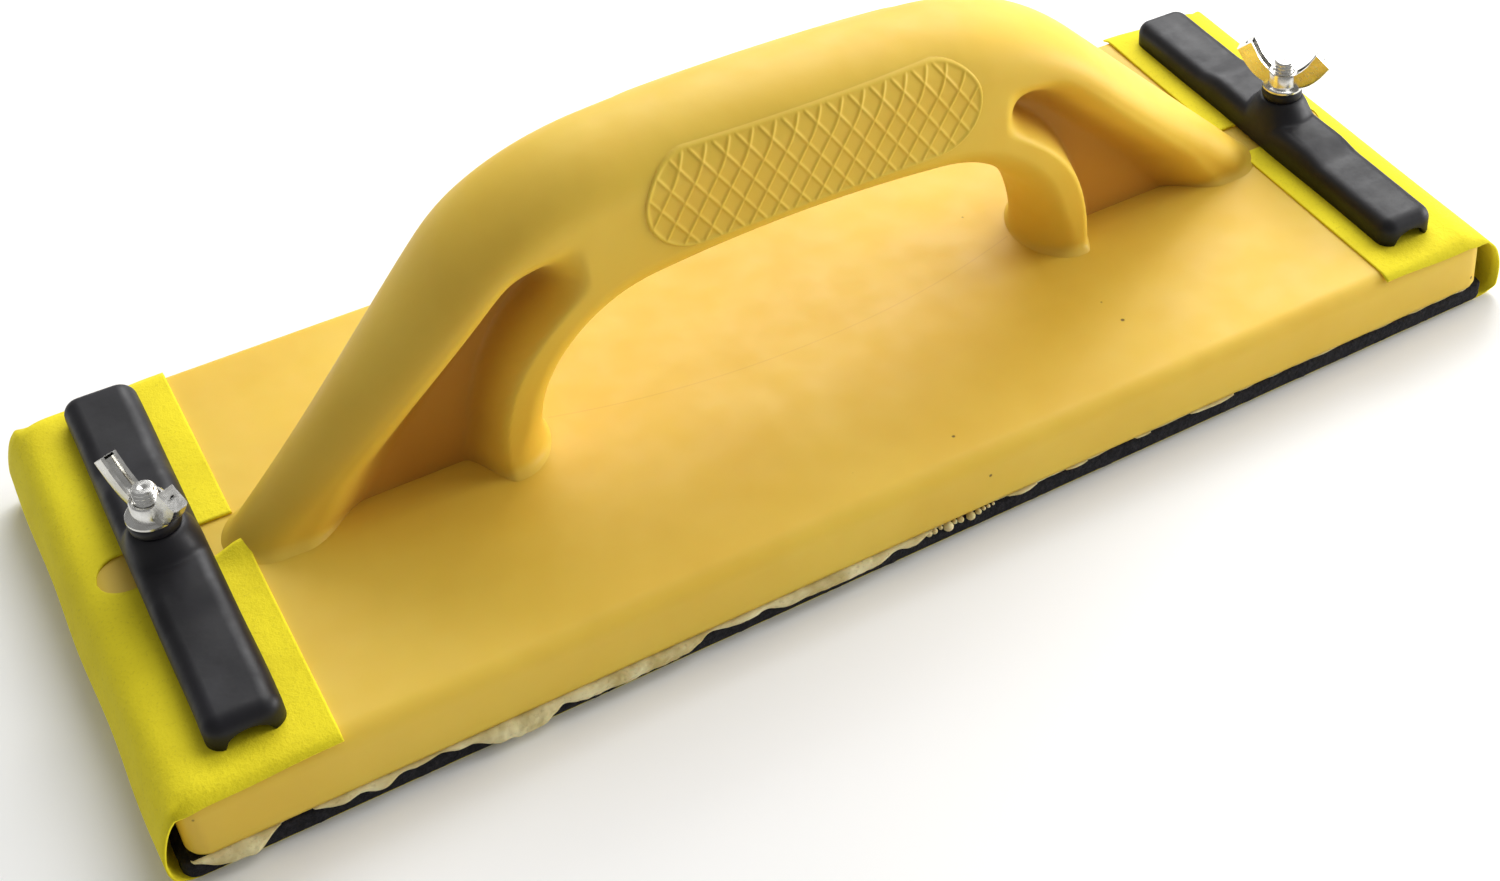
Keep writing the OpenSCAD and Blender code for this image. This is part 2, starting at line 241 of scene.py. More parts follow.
def polyurethaneSkin():
    # integral-skin polyurethane foam: waxy, smooth, slightly mottled, a few open gas pores, with painted shade
    # deep in the handle's pockets
    # shade is the brown of the painted shade in the handle's pockets, and also the colour of the mould seam line
    look = dict(light="#E8C44A", deep="#E2BA40", shade="#BE8A30", pore="#5C4018", mottleMm=38, poreMm=13,
                glossMm=9, orangePeelMm=14, grainMm=1.6, topLow=0.0205, topHigh=0.0212, seamX=-0.001,
                seamY=0.185, seamRadius=0.1934, seamHalf=0.060)
    # the seam is the faint arc left in the plate's top by the mould, in metres
    m, t, s, place = startMaterial("polyurethane_foam_skin", Roughness=0.46, IOR=1.48, Subsurface_Weight=0.2,
                                   Subsurface_Scale=0.01)
    s.inputs["Subsurface Radius"].default_value = (1.0, 0.55, 0.15)
    s.inputs["Specular IOR Level"].default_value = 0.34
    mottle = remap(t, noise(t, place, look["mottleMm"], 4), 0.35, 0.68)
    colour = blendColour(t, mottle, srgb(look["light"]), srgb(look["deep"]))
    # painted shade: the handle's pockets turn brown by how deep they lie, read from the mesh's shade attribute
    depth = addNode(t, "ShaderNodeAttribute", attribute_name="shade").outputs["Fac"]
    colour = blendColour(t, depth, colour, srgb(look["shade"]))
    cells = addNode(t, "ShaderNodeTexVoronoi", {"Vector": place, "Scale": 1000 / look["poreMm"]})
    part = addNode(t, "ShaderNodeSeparateXYZ", {"Vector": place}).outputs
    pore = maths(t, "MULTIPLY", remap(t, cells.outputs["Distance"], 0.042, 0.026),
                 maths(t, "LESS_THAN", part["Z"], look["topHigh"]))
    colour = blendColour(t, maths(t, "MULTIPLY", pore, 0.85), colour, srgb(look["pore"]))
    acrossSquared = maths(t, "POWER", maths(t, "SUBTRACT", part["X"], look["seamX"]), 2.0)
    alongSquared = maths(t, "POWER", maths(t, "SUBTRACT", part["Y"], look["seamY"]), 2.0)
    fromCentre = maths(t, "SQRT", maths(t, "ADD", acrossSquared, alongSquared))
    line = remap(t, maths(t, "ABSOLUTE", maths(t, "SUBTRACT", fromCentre, look["seamRadius"])), 0.00028, 0.00005)
    flat = maths(t, "MULTIPLY", maths(t, "LESS_THAN", part["Z"], look["topHigh"]),
                 maths(t, "GREATER_THAN", part["Z"], look["topLow"]))
    line = maths(t, "MULTIPLY", maths(t, "MULTIPLY", line, flat),
                 maths(t, "LESS_THAN", maths(t, "ABSOLUTE", part["X"]), look["seamHalf"]))
    colour = blendColour(t, maths(t, "MULTIPLY", line, 0.22), colour, srgb(look["shade"]))
    t.links.new(colour, s.inputs["Base Color"])
    t.links.new(remap(t, noise(t, place, look["glossMm"], 5), 0.3, 0.7, 0.46, 0.60), s.inputs["Roughness"])
    grain = maths(t, "MULTIPLY", noise(t, place, look["grainMm"], 5, 0.6), 0.05)
    skin = maths(t, "ADD", grain, noise(t, place, look["orangePeelMm"], 2))
    skin = maths(t, "SUBTRACT", skin, maths(t, "MULTIPLY", pore, 0.4))
    bump(t, s, skin, 0.35, 0.8)
    return m


def abrasivePaper():
    # aluminium oxide grit on latex paper, drawn as 0.7 mm grain so that it shows
    look = dict(paint="#F6E524", dark="#DCC81A", grit="#B09A10", grainMm=0.7, patchMm=22, clumpMm=2.4)
    m, t, s, place = startMaterial("abrasive_paper_grit", Roughness=0.82, IOR=1.5)
    s.inputs["Specular IOR Level"].default_value = 0.3
    patch = remap(t, noise(t, place, look["patchMm"], 4), 0.35, 0.7)
    colour = blendColour(t, maths(t, "MULTIPLY", patch, 0.55), srgb(look["paint"]), srgb(look["dark"]))
    grain = noise(t, place, look["grainMm"], 2, 0.7)
    colour = blendColour(t, remap(t, grain, 0.56, 0.78, 0, 0.32), colour, srgb(look["grit"]))
    t.links.new(colour, s.inputs["Base Color"])
    bump(t, s, maths(t, "ADD", grain, noise(t, place, look["clumpMm"], 2)), 0.2, 0.6)
    return m


def spongeRubber():
    # vulcanised sponge rubber cut from sheet: near black, matt, with a ragged cut edge
    look = dict(rubber="#17161A", dust="#3A383C", cellMm=1.1)
    m, t, s, place = startMaterial("sponge_rubber", Roughness=0.85, IOR=1.5)
    s.inputs["Specular IOR Level"].default_value = 0.25
    grain = noise(t, place, look["cellMm"], 4, 0.7)
    t.links.new(blendColour(t, remap(t, grain, 0.45, 0.75, 0, 0.6), srgb(look["rubber"]), srgb(look["dust"])),
                s.inputs["Base Color"])
    bump(t, s, grain, 0.7, 1.0)
    return m


def blackEnamel():
    # stove enamel over pressed steel: black, semi-matt, with a broad bluish sheen
    look = dict(black="#111014", worn="#1B1A20", flowMm=5, finishMm=0.9, cloudMm=16, glossMm=7)
    m, t, s, place = startMaterial("stove_enamel_black", Roughness=0.42, IOR=1.5)
    s.inputs["Specular IOR Level"].default_value = 0.33
    cloud = remap(t, noise(t, place, look["cloudMm"], 5, 0.6), 0.4, 0.75)
    t.links.new(blendColour(t, cloud, srgb(look["black"]), srgb(look["worn"])), s.inputs["Base Color"])
    t.links.new(remap(t, noise(t, place, look["glossMm"], 5, 0.65), 0.3, 0.7, 0.40, 0.58), s.inputs["Roughness"])
    fine = maths(t, "MULTIPLY", noise(t, place, look["finishMm"], 2), 0.12)
    peel = maths(t, "ADD", noise(t, place, look["flowMm"], 2), fine)
    bump(t, s, peel, 0.12, 0.6)
    return m


def zincPlate():
    # bright zinc plate over stamped steel: silvery metal with fine drawing marks
    look = dict(metal="#E6E5E1", dull="#C9C7C1", cloudMm=3.5, drawMm=1.4, waveMm=2.5)
    m, t, s, place = startMaterial("zinc_plated_steel", Metallic=1.0, Roughness=0.24)
    cloud = remap(t, noise(t, place, look["cloudMm"], 5, 0.6), 0.35, 0.75)
    t.links.new(blendColour(t, cloud, srgb(look["metal"]), srgb(look["dull"])), s.inputs["Base Color"])
    t.links.new(remap(t, noise(t, place, look["drawMm"], 4), 0.3, 0.7, 0.18, 0.30), s.inputs["Roughness"])
    bump(t, s, noise(t, place, look["waveMm"], 2), 0.03, 0.4)
    return m


def squeezedFoam():
    # one-part polyurethane adhesive that foamed as it set: pale, open bubbles, dirty in the pits
    look = dict(pale="#EADFAE", cream="#C2B070", pit="#8E7C48", bubbleMm=0.8, patchMm=8, pitMm=1.2, lumpMm=2.2)
    m, t, s, place = startMaterial("foamed_polyurethane_adhesive", Roughness=0.7, IOR=1.45,
                                   Subsurface_Weight=0.15, Subsurface_Scale=0.003)
    cells = addNode(t, "ShaderNodeTexVoronoi", {"Vector": place, "Scale": 1000 / look["bubbleMm"]})
    patch = remap(t, noise(t, place, look["patchMm"], 3), 0.35, 0.65)
    dirt = remap(t, noise(t, place, look["pitMm"], 4, 0.7), 0.55, 0.8, 0, 0.6)
    colour = blendColour(t, patch, srgb(look["pale"]), srgb(look["cream"]))
    t.links.new(blendColour(t, dirt, colour, srgb(look["pit"])), s.inputs["Base Color"])
    pits = maths(t, "MULTIPLY", cells.outputs["Distance"], 0.15)
    bump(t, s, maths(t, "SUBTRACT", noise(t, place, look["lumpMm"], 4), pits), 0.35, 0.7)
    return m


skinMaterial, paperMaterial, rubberMaterial = polyurethaneSkin(), abrasivePaper(), spongeRubber()
enamelMaterial, zincMaterial, foamMaterial = blackEnamel(), zincPlate(), squeezedFoam()
print("materials ready")

plate = dict(length=320, width=125, bottom=5.6, edge=4.5, corner=4.5, lowEdge=1.6, draft=0.35, sideRows=(9, 12.5),
             topInsets=(6, 9, 14, 22, 32, 45, 62.497), wave=0.12, waveLength=120)


def makePlate():
    # rows of the rounded outline: under edge, drafted side, quarter-round top edge, then in to the middle
    p = plate
    up = np.radians(np.linspace(0, 90, 12))[1:]
    edgeStart = plateTop - p["edge"]
    insets = np.r_[30, 4, p["lowEdge"] * 0.3, 0, p["draft"] * np.array([0.3, 0.6, 1.0]),
                   p["draft"] + p["edge"] * (1 - np.cos(up)), p["topInsets"]]
    heights = np.r_[p["bottom"], p["bottom"], p["bottom"] + 0.4, p["bottom"] + p["lowEdge"], p["sideRows"],
                    edgeStart, edgeStart + p["edge"] * np.sin(up), [plateTop] * len(p["topInsets"])]
    grid = ringedPlan(p["length"], p["width"], p["corner"], insets, heights, (90, 36), 10)
    grid[4:, :, 2] += p["wave"] * waves(3, grid[4:, :, 0], grid[4:, :, 1], p["waveLength"])
    return makePiece("mouldedPlate", [(grid, False, True)], skinMaterial, "float", ["float_body"])


handle = dict(height=94.2, crownRadius=450, crownHalf=5, shoulderRadius=62.9, openingTop=59, openingCrown=300,
              openingCorner=31, openingHalf=62, gripHalf=15.5, footHalf=8.3, postHalf=12.6, webHalf=2.2,
              rimDepth=7.4, rimWall=11.0, postDepth=11.5, postWall=4.5, outerRound=6.5, crownRound=11,
              innerRound=6.5, plateFillet=2.4, sunk=0.3, base=0.4, footFlare=2.6, toe=0.9, heel=1.8,
              crownRim=3.6, footRim=2.4, footWall=3, footBand=15, innerCrown=2.5, innerFoot=3.5, widthBlend=6,
              legTaper=(66, 122), postTaper=(22, 62), rimNarrows=(54, 68), pocketStarts=(50, 60),
              crownFades=(40, 80), rows=190, across=96)
# pairs are where a change starts and ends, in x or, for the post, in z


def outerHalf():
    # right half of the handle's outer side outline, from the crown's middle down to the foot
    h = handle
    a = math.radians(h["crownHalf"])
    crownZ = h["height"] - h["crownRadius"]
    sx = (h["crownRadius"] - h["shoulderRadius"]) * math.sin(a)
    sz = crownZ + (h["crownRadius"] - h["shoulderRadius"]) * math.cos(a)
    crown = arc(0, crownZ, h["crownRadius"], 90, 90 - h["crownHalf"], 40)
    shoulder = arc(sx, sz, h["shoulderRadius"], 90 - h["crownHalf"], 45, 60)
    foot = shoulder[-1].sum() - plateTop
    flare = bezier((foot - h["footFlare"], plateTop + h["footFlare"]), (foot, plateTop),
                   (foot + h["toe"], plateTop - h["sunk"]), 14)
    return np.concatenate([crown, shoulder[1:], flare])


def innerHalf():
    # right half of the finger opening's outline, from its top down to the flared post base
    h = handle
    reach = h["openingHalf"] - h["openingCorner"]
    crownZ = h["openingTop"] - h["openingCrown"]
    cz = crownZ + math.sqrt((h["openingCrown"] - h["openingCorner"]) ** 2 - reach ** 2)
    a = math.degrees(math.atan2(cz - crownZ, reach))
    top = arc(0, crownZ, h["openingCrown"], 90, a, 30)
    corner = arc(reach, cz, h["openingCorner"], a, 0, 60)
    flare = bezier((h["openingHalf"], cz - 0.5), (h["openingHalf"], plateTop - h["sunk"]),
                   (h["openingHalf"] - h["heel"], plateTop - h["base"]), 20)
    return np.concatenate([top, corner[1:], flare[1:]])


def mirrored(half):
    # full outline from the left foot over the crown to the right foot
    return np.concatenate([(half * [-1, 1])[::-1], half[1:]])


outerLine = evenly(mirrored(outerHalf()), 600)
innerLine = evenly(mirrored(innerHalf()), 400)


def handleHalfWidth(x, z):
    # half thickness in Y at a point of the side view, and how deep that point lies in a pocket:
    # full width in the leg strip and the post, a thin web between them, rounded along both outlines
    h = handle
    dOut, dIn = distanceTo(outerLine, x, z), distanceTo(innerLine, x, z)
    ax = np.abs(x)
    leg = h["gripHalf"] - (h["gripHalf"] - h["footHalf"]) * ease(*h["legTaper"], ax)
    post = h["postHalf"] + (h["gripHalf"] - h["postHalf"]) * ease(*h["postTaper"], z)
    low = 1 - ease(plateTop, plateTop + h["footBand"], z)
    rimDepth = h["rimDepth"] + h["crownRim"] * (1 - ease(*h["rimNarrows"], ax)) + h["footRim"] * low
    rim = 1 - ease(0, h["rimWall"], dOut - rimDepth)
    column = 1 - ease(0, 1, (dIn - h["postDepth"]) / (h["postWall"] + h["footWall"] * low))
    pocketed = ease(*h["pocketStarts"], ax)
    solid = 1 - (1 - rim) * (1 - column) * pocketed
    mixWidth = ease(-h["widthBlend"], h["widthBlend"], dOut - dIn)
    full = leg * (1 - mixWidth) + np.minimum(post, h["gripHalf"]) * mixWidth
    half = h["webHalf"] + (full - h["webHalf"]) * solid
    crownShare = 1 - ease(*h["crownFades"], ax)
    outRound = h["outerRound"] + (h["crownRound"] - h["outerRound"]) * crownShare
    inRound = h["innerRound"] + h["innerCrown"] * crownShare + h["innerFoot"] * low
    edge = roundOver(dOut / outRound) * roundOver(dIn / inRound)
    lift = np.clip((z - plateTop) / h["plateFillet"], 0, 1)
    flare = h["plateFillet"] * (1 - np.sqrt(1 - (1 - lift) ** 2))
    return (half + flare * solid) * edge, 1 - solid


def makeHandle():
    # side-view grid between the outer outline and the opening, given its thickness front and back
    h = handle
    n = 2 * h["rows"] + 1
    a, b = evenly(outerLine, n), evenly(innerLine, n)
    t = (1 - np.cos(np.pi * np.linspace(0, 1, h["across"]))) / 2
    x = a[:, :1] + (b - a)[:, :1] * t
    z = a[:, 1:] + (b - a)[:, 1:] * t
    half, depth = handleHalfWidth(x, z)
    half[:, [0, -1]] = 0  # front and back meet along both outlines
    z[[0, -1]] = plateTop - h["base"]
    # how deep each point lies in a pocket, fading out where the handle is near full thickness; stored as the
    # shade attribute that paints shade into the pockets
    depth = depth * ease(0, 10, h["gripHalf"] - half)
    front = np.stack([x, -half, z], -1)
    back = np.stack([x, half, z], -1)
    return makePiece("mouldedHandle", [(front, False, False), (back, False, False)], skinMaterial, "float",
                     ["float_body"], weld=0.004,
                     attributes={"shade": np.concatenate([depth.ravel(), depth.ravel()])})


panel = dict(centreX=3.7, centreZ=78, length=80.5, height=23.5, slope=57, pitch=5.25, rib=0.62, proud=0.34,
             rim=1.1, step=0.25, margin=0.6, lift=0.06, tuck=0.5)


def makePanel(name, side):
    # patch of the grip's own surface raised along two sets of slanting lines and an oval border
    p = panel
    a = np.arange(-p["length"] / 2 - p["margin"], p["length"] / 2 + p["margin"], p["step"])
    b = np.arange(-p["height"] / 2 - p["margin"], p["height"] / 2 + p["margin"], p["step"])
    u, v = np.meshgrid(a, b, indexing="ij")
    x, z = p["centreX"] + u, p["centreZ"] + v
    half, _ = handleHalfWidth(x, z)
    straight = p["length"] / 2 - p["height"] / 2
    toEdge = p["height"] / 2 - np.hypot(np.maximum(np.abs(u) - straight, 0), v)
    raised = np.zeros_like(u)
    for s in (-1, 1):
        k = math.radians(p["slope"] * s)
        across = u * math.sin(k) - v * math.cos(k)
        gap = p["pitch"] * math.sin(math.radians(p["slope"]))
        off = np.abs((across / gap + 0.5) % 1 - 0.5) * gap
        raised = np.maximum(raised, np.exp(-(off / (p["rib"] * 0.46)) ** 2) * ease(0.3, 0.9, toEdge))
    raised = np.maximum(raised, np.exp(-((toEdge - 0.5) / (p["rim"] * 0.4)) ** 2))
    grown = half + p["proud"] * raised * ease(0, 0.25, toEdge) + p["lift"]
    grown -= p["tuck"] * (1 - ease(-0.2, 0.05, toEdge))  # the patch's own rim dives under the grip
    return makePiece(name, [(np.stack([x, side * grown, z], -1), False, False)], skinMaterial, "float",
                     ["float_body"], weld=0.001)


pad = dict(length=324, width=124, bottom=0.6, top=5.0, corner=3, edge=0.5, sideRows=[1.7, 2.8, 3.8],
           coarse=(0.16, 7), fine=(0.10, 2.4))  # the cut's raggedness: depth and wavelength


def makePad():
    # rounded outline with a ragged cut side
    p = pad
    insets = [40, 6, p["edge"], 0.1, 0, 0, 0, 0.1, p["edge"], 6, 40]
    heights = [p["bottom"]] * 3 + [p["bottom"] + 0.5] + p["sideRows"] + [p["top"] - 0.5] + [p["top"]] * 3
    grid = ringedPlan(p["length"], p["width"], p["corner"], insets, heights, (420, 160), 8)
    x, y, z = grid[..., 0], grid[..., 1], grid[..., 2]
    (deep, deepLength), (slight, slightLength) = p["coarse"], p["fine"]
    rough = deep * waves(5, x, y + 9 * z, deepLength) + slight * waves(6, x, y + 9 * z, slightLength)
    rough[[0, 1, 2, -3, -2, -1]] = 0  # the faces stay flat
    grid[..., 1] += np.sign(y) * rough * (np.abs(y) > 60)
    grid[..., 0] += np.sign(x) * rough * (np.abs(x) > 160)
    return makePiece("rubberPad", [(grid, False, True)], rubberMaterial, "float", ["rubber_pad"])


bond = dict(spans=[(-158.5, -145, 0.95), (-136, -127, 0.45), (-127, -120.5, 1.0), (-120, -112, 0.30),
                   (-110, -104, 0.6), (-105, -86, 1.0), (-87, -54, 0.72), (-52, -39, 0.36), (-40, -8, 0.58),
                   (-9, 0, 0.48), (21, 28, 0.30), (36, 42, 0.2), (55, 60, 0.18), (70, 84, 0.15)],
            bubbles=[(0.4, 0.8), (1.8, 0.75), (3.4, 0.5), (5.3, 1.25), (7.0, 0.6), (8.5, 0.8), (11.1, 1.1),
                     (13.1, 0.75), (14.5, 0.5), (15.7, 0.45), (17.0, 0.35)],
            out=2.3, top=5.9, depth=4.6, step=0.35, front=-61.3, bubbleFront=-61.9, bubbleTop=5.5,
            layer=(318, 123, 4), layerInsets=[30, 0.3, 0, 0.3, 30], layerHeights=[5.0, 5.0, 5.3, 5.6, 5.6])
# spans are (from, to, share) along the front edge, and bubbles (place, radius)


def makeBond():
    # thin layer between plate and pad, a lumpy bead along the front and single bubbles beside it
    q = bond
    layer = ringedPlan(*q["layer"], q["layerInsets"], q["layerHeights"], (160, 60), 8)
    layer[1:4, :, 1] += np.sign(layer[1:4, :, 1]) * 0.35 * waves(8, layer[1:4, :, 0], layer[1:4, :, 1], 9)
    x = np.arange(-160, 90, q["step"])
    amount = np.zeros_like(x)
    for low, high, size in q["spans"]:
        amount = np.maximum(amount, size * ease(low - 2, low + 5, x) * (1 - ease(high - 5, high + 2, x)))
    spread = np.exp(-(np.arange(-4, 4.1, q["step"]) / 1.6) ** 2)  # bell curve that smooths the amounts
    amount = np.convolve(amount, spread / spread.sum(), "same")
    lumps = 1 + 0.16 * waves(9, x, 0 * x, 15) + 0.05 * waves(10, x, 0 * x, 4)
    amount = np.clip(amount * lumps, 0, 1.12)
    v = np.linspace(0, np.pi, 22)
    xx, vv = np.meshgrid(x, v, indexing="ij")
    aa = amount[:, None]
    bulge = aa ** 0.5 * q["out"] * (1 + 0.07 * waves(11, xx, 6 * vv, 3.2))
    y = q["front"] - bulge * np.sin(vv) - 0.5 * (aa > 0.05)
    zTop = q["top"] + 0.25 * waves(12, xx, 0 * xx, 6) * aa
    z = zTop - q["depth"] * aa * (1 - np.cos(vv)) / 2
    parts = [(layer, False, True), (np.stack([xx, y, np.maximum(z, 1.0)], -1), False, False)]
    for bx, r in q["bubbles"]:
        a = np.radians(np.linspace(-90, 90, 9))
        ball = np.stack([r * np.cos(a) + 1e-3, q["bubbleTop"] - 0.8 * r + r * 0.9 * np.sin(a)], 1)
        parts.append((turned(ball, 14, bx, q["bubbleFront"]), False, True))
    return makePiece("squeezedBond", parts, foamMaterial, "float", ["bond_foam"])


paper = dict(thickness=0.5, half=62, top=21.4,
             left=[(-127.5, 21.4), (-140, 21.4), (-150, 21.4), (-155, 21.2), (-158.4, 20.1), (-161.0, 17.6),
                   (-162.8, 13.8), (-164.0, 10.0), (-164.5, 7.0), (-164.3, 4.4), (-163.3, 2.0), (-161.5, 0.55),
                   (-159, 0.0)],
             right=[(160, 0.0), (163.6, 0.3), (165.7, 1.7), (166.4, 4.5), (166.3, 8.5), (165.3, 12.4),
                    (163.4, 16.2), (160.2, 19.3), (155.9, 21.2), (151, 21.4), (140, 21.4), (128.5, 21.4)],
             slotCentre=3.2, slotHalf=5.6, slotEnd=151.3, slotAbove=19, drawnIn=0.9, curl=2.4,
             flapWave=(0.22, 34), endWave=(0.5, 40))  # height and wavelength of the buckles


def smoothPath(points, n):
    # Catmull-Rom curve through the points, resampled evenly
    p = np.asarray(points, float)
    p = np.vstack([2 * p[0] - p[1], p, 2 * p[-1] - p[-2]])
    t = np.linspace(0, 1, 12, endpoint=False)[:, None]
    out = []
    for k in range(1, len(p) - 2):
        a, b, c, d = p[k - 1], p[k], p[k + 1], p[k + 2]
        out.append(0.5 * (2 * b + (c - a) * t + (2 * a - 5 * b + 4 * c - d) * t ** 2
                          + (3 * b - a - 3 * c + d) * t ** 3))
    out.append(p[-2:-1])
    return evenly(np.concatenate(out), n)


def makeSheet():
    # strip carried along its folded path; each flap is split round its bolt slot
    q = paper
    leftPath, rightPath = smoothPath(q["left"], 120), smoothPath(q["right"], 120)
    under = np.stack([np.linspace(leftPath[-1, 0], rightPath[0, 0], 66)[1:-1], np.zeros(64)], 1)
    path = np.concatenate([leftPath, under, rightPath])
    px, pz = path[:, :1], path[:, 1:]
    beyond = np.abs(px) - (q["slotEnd"] - 0.3)
    beyondSquared = np.clip(beyond, 0, q["slotHalf"]) ** 2
    rounded = q["slotHalf"] * np.sqrt(np.clip(1 - beyondSquared / q["slotHalf"] ** 2, 0, 1))
    slotHalf = np.where((pz > q["slotAbove"]) & (beyond < q["slotHalf"]), rounded, 0)
    v = 1 - (1 - np.linspace(0, 1, 30)) ** 1.25
    side = q["half"] - q["drawnIn"] * (1 - ease(0.1, 3.0, pz))
    low = -side + (q["slotCentre"] - slotHalf + side) * v
    high = q["slotCentre"] + slotHalf + (side - q["slotCentre"] - slotHalf) * (1 - v[::-1])
    parts = []
    for y in (low, high):
        x, z = px + 0 * y, pz + 0 * y
        flap = ease(18.5, 21.2, z)  # 1 on the flaps, 0 round the ends and below
        past = np.clip(np.abs(y) - (q["half"] + 0.5 - plate["edge"]), 0, plate["edge"] - 0.2)
        drop = plate["edge"] - np.sqrt(plate["edge"] ** 2 - past ** 2)
        z = z - drop * (0.45 + 0.55 * ease(130, 150, np.abs(x))) * flap
        free = ease(2.5, 7, np.minimum(z, q["top"] - z)) * (np.abs(x) > 156)
        (flapHeight, flapLength), (endHeight, endLength) = q["flapWave"], q["endWave"]
        z = z + flapHeight * waves(21, x, y, flapLength) * flap * ease(0, 12, np.abs(np.abs(x) - boltX) - 7)
        x = x + np.sign(x) * endHeight * waves(22, y, z, endLength) * free
        curl = (x < 0) * ease(-136, -128, x) * ease(-9, -2, y) * (y < 3)  # one lifted corner at the left slot
        z = z + q["curl"] * curl * flap
        parts.append((np.stack([x, y, z], -1), False, False))
    piece = makePiece("abrasiveSheet", parts, paperMaterial, "float", ["abrasive_sheet"], weld=0.01)
    addModifier(piece, "thickness", "SOLIDIFY", thickness=q["thickness"] * 0.001, offset=-1.0)
    return piece


bar = dict(length=109.4, width=15.4, height=6.7, shoulder=3.5, corner=3.8, wall=1.4, rise=1.2, kink=22,
           kinkHalf=4.5, bossRadius=6.4, bossTop=12.2, notch=4.6, notchReach=2.5, off=1.3, seat=0.6,
           dent=(0.10, 18), bow=(0.15, 45))  # dents and bow: size and wavelength


def makeBar(name, side, body, node):
    # outline rows up the side, over the shoulder and in; the middle and its boss are pushed up
    q = bar
    a = np.radians(np.linspace(0, 90, 9))[1:]
    top, side0 = q["height"], q["height"] - q["shoulder"]
    inset = np.r_[0, 0, 0, q["shoulder"] * (1 - np.cos(a)),
                  np.linspace(q["shoulder"], q["width"] / 2 - 0.003, 12)[1:]]
    level = np.r_[0, side0 * 0.5, side0, side0 + q["shoulder"] * np.sin(a), [top] * 11]
    grid = ringedPlan(q["width"], q["length"], q["corner"], inset, level, (20, 300), 8)
    x, y, z = grid[..., 0], grid[..., 1], grid[..., 2]
    notch = q["notch"] * 0.72 * np.sqrt(np.clip(1 - (x[0] / q["notch"]) ** 2, 0, 1))
    notch *= np.abs(y[0]) > q["length"] / 2 - q["notchReach"]
    z[:3] = np.maximum(z[:3], notch + np.array([[0], [0.1], [0.2]]))
    share = z / top
    inner = ease(-q["kink"] - q["kinkHalf"], -q["kink"] + q["kinkHalf"], -np.abs(y))  # 1 between the two kinks
    z += q["rise"] * inner * ease(0.1, 1.0, share)
    y += q["off"]
    r = np.hypot(x, y)
    boss = 1 - ease(q["bossRadius"] - 1.6, q["bossRadius"] + 2.6, r)
    z += (q["bossTop"] - z) * boss * ease(0.35, 0.8, share)
    z += q["dent"][0] * waves(31 + side, x, y, q["dent"][1]) * ease(0.5, 1, share)
    x += q["bow"][0] * waves(33 + side, y, z, q["bow"][1])
    grid = np.stack([side * boltX + x, y, z + plateTop + q["seat"]], -1)
    piece = makePiece(name, [(grid, False, True)], enamelMaterial, body, [node], weld=0.03)
    addModifier(piece, "wall", "SOLIDIFY", thickness=q["wall"] * 0.001, offset=-1.0)
    return piece


washer = dict(outer=5.2, inner=2.7, bottom=33.6, top=36.3)


def makeWasher(name, side, body, node):
    # lathed ring with softly rounded rims
    q = washer
    mid = (q["bottom"] + q["top"]) / 2
    profile = [(q["inner"], q["bottom"]), (q["outer"] - 0.5, q["bottom"]), (q["outer"] - 0.1, q["bottom"] + 0.4),
               (q["outer"], mid), (q["outer"] - 0.1, q["top"] - 0.4), (q["outer"] - 0.5, q["top"]),
               (q["inner"], q["top"]), (q["inner"], q["bottom"])]
    return makePiece(name, [(turned(profile, 64, side * boltX), False, True)], enamelMaterial, body, [node],
                     sharp=50)


nut = dict(base=36.35, flange=5.3, collar=3.75, height=4.6, bore=2.56, sheet=0.75, wingHalf=1.75,
           wingUnder=[(2.8, 0.2), (4.6, 0.7), (7.2, 2.1), (9.9, 4.9), (12.4, 8.7)],
           wingOver=[(2.8, 4.2), (4.4, 5.6), (6.4, 8.0), (7.5, 10.0), (8.6, 11.9)])
# wings are (distance from the bolt, height above the base)


def wingTray(angle, x0):
    # one wing as a tray: side walls, floor and end wall drawn as an outer and an inner skin
    q = nut
    lowLine, topLine = (smoothPath(np.array(q[k]) + [0, q["base"]], 22) for k in ("wingUnder", "wingOver"))
    end = np.linspace(0, 1, 8)[1:, None]
    endLine = lowLine[-1] * (1 - end) + topLine[-1] * end
    low = np.vstack([lowLine, endLine])
    top = np.vstack([topLine, np.repeat(topLine[-1:], len(endLine), 0)])
    w, s = q["wingHalf"], q["sheet"]
    rows = []
    # across: rim outside, down the wall, round the floor corner, floor, up the other wall, then back inside;
    # each pair is how far down from the rim and how far across
    outside = [(0.0, -w), (0.35, -w), (0.8, -w), (0.94, -w * 0.93), (1.0, -w * 0.6), (1.0, 0.0),
               (1.0, w * 0.6), (0.94, w * 0.93), (0.8, w), (0.35, w), (0.0, w)]
    for share, t in outside:
        rows.append(np.c_[top + (low - top) * share, np.full(len(low), t)])
    depth = np.linalg.norm(low - top, axis=1, keepdims=True)
    floor = np.clip(1 - s / np.maximum(depth, s * 1.2), 0, 0.5)
    back = ease(0.80, 1.0, np.arange(len(low))[:, None] / (len(low) - 1.0))
    for share, t in outside[::-1]:
        inner = top + (low - top) * share * floor
        inner = inner + np.array([-0.55, -0.5]) * s * back * (1.0 if share > 0.05 else 0.35)
        rows.append(np.c_[inner, np.full(len(low), t * (w - s) / w)])
    grid = np.stack(rows)
    r, z, t = grid[..., 0], grid[..., 1], grid[..., 2]
    a = math.radians(angle)
    return np.stack([x0 + r * math.cos(a) - t * math.sin(a), r * math.sin(a) + t * math.cos(a), z], -1)


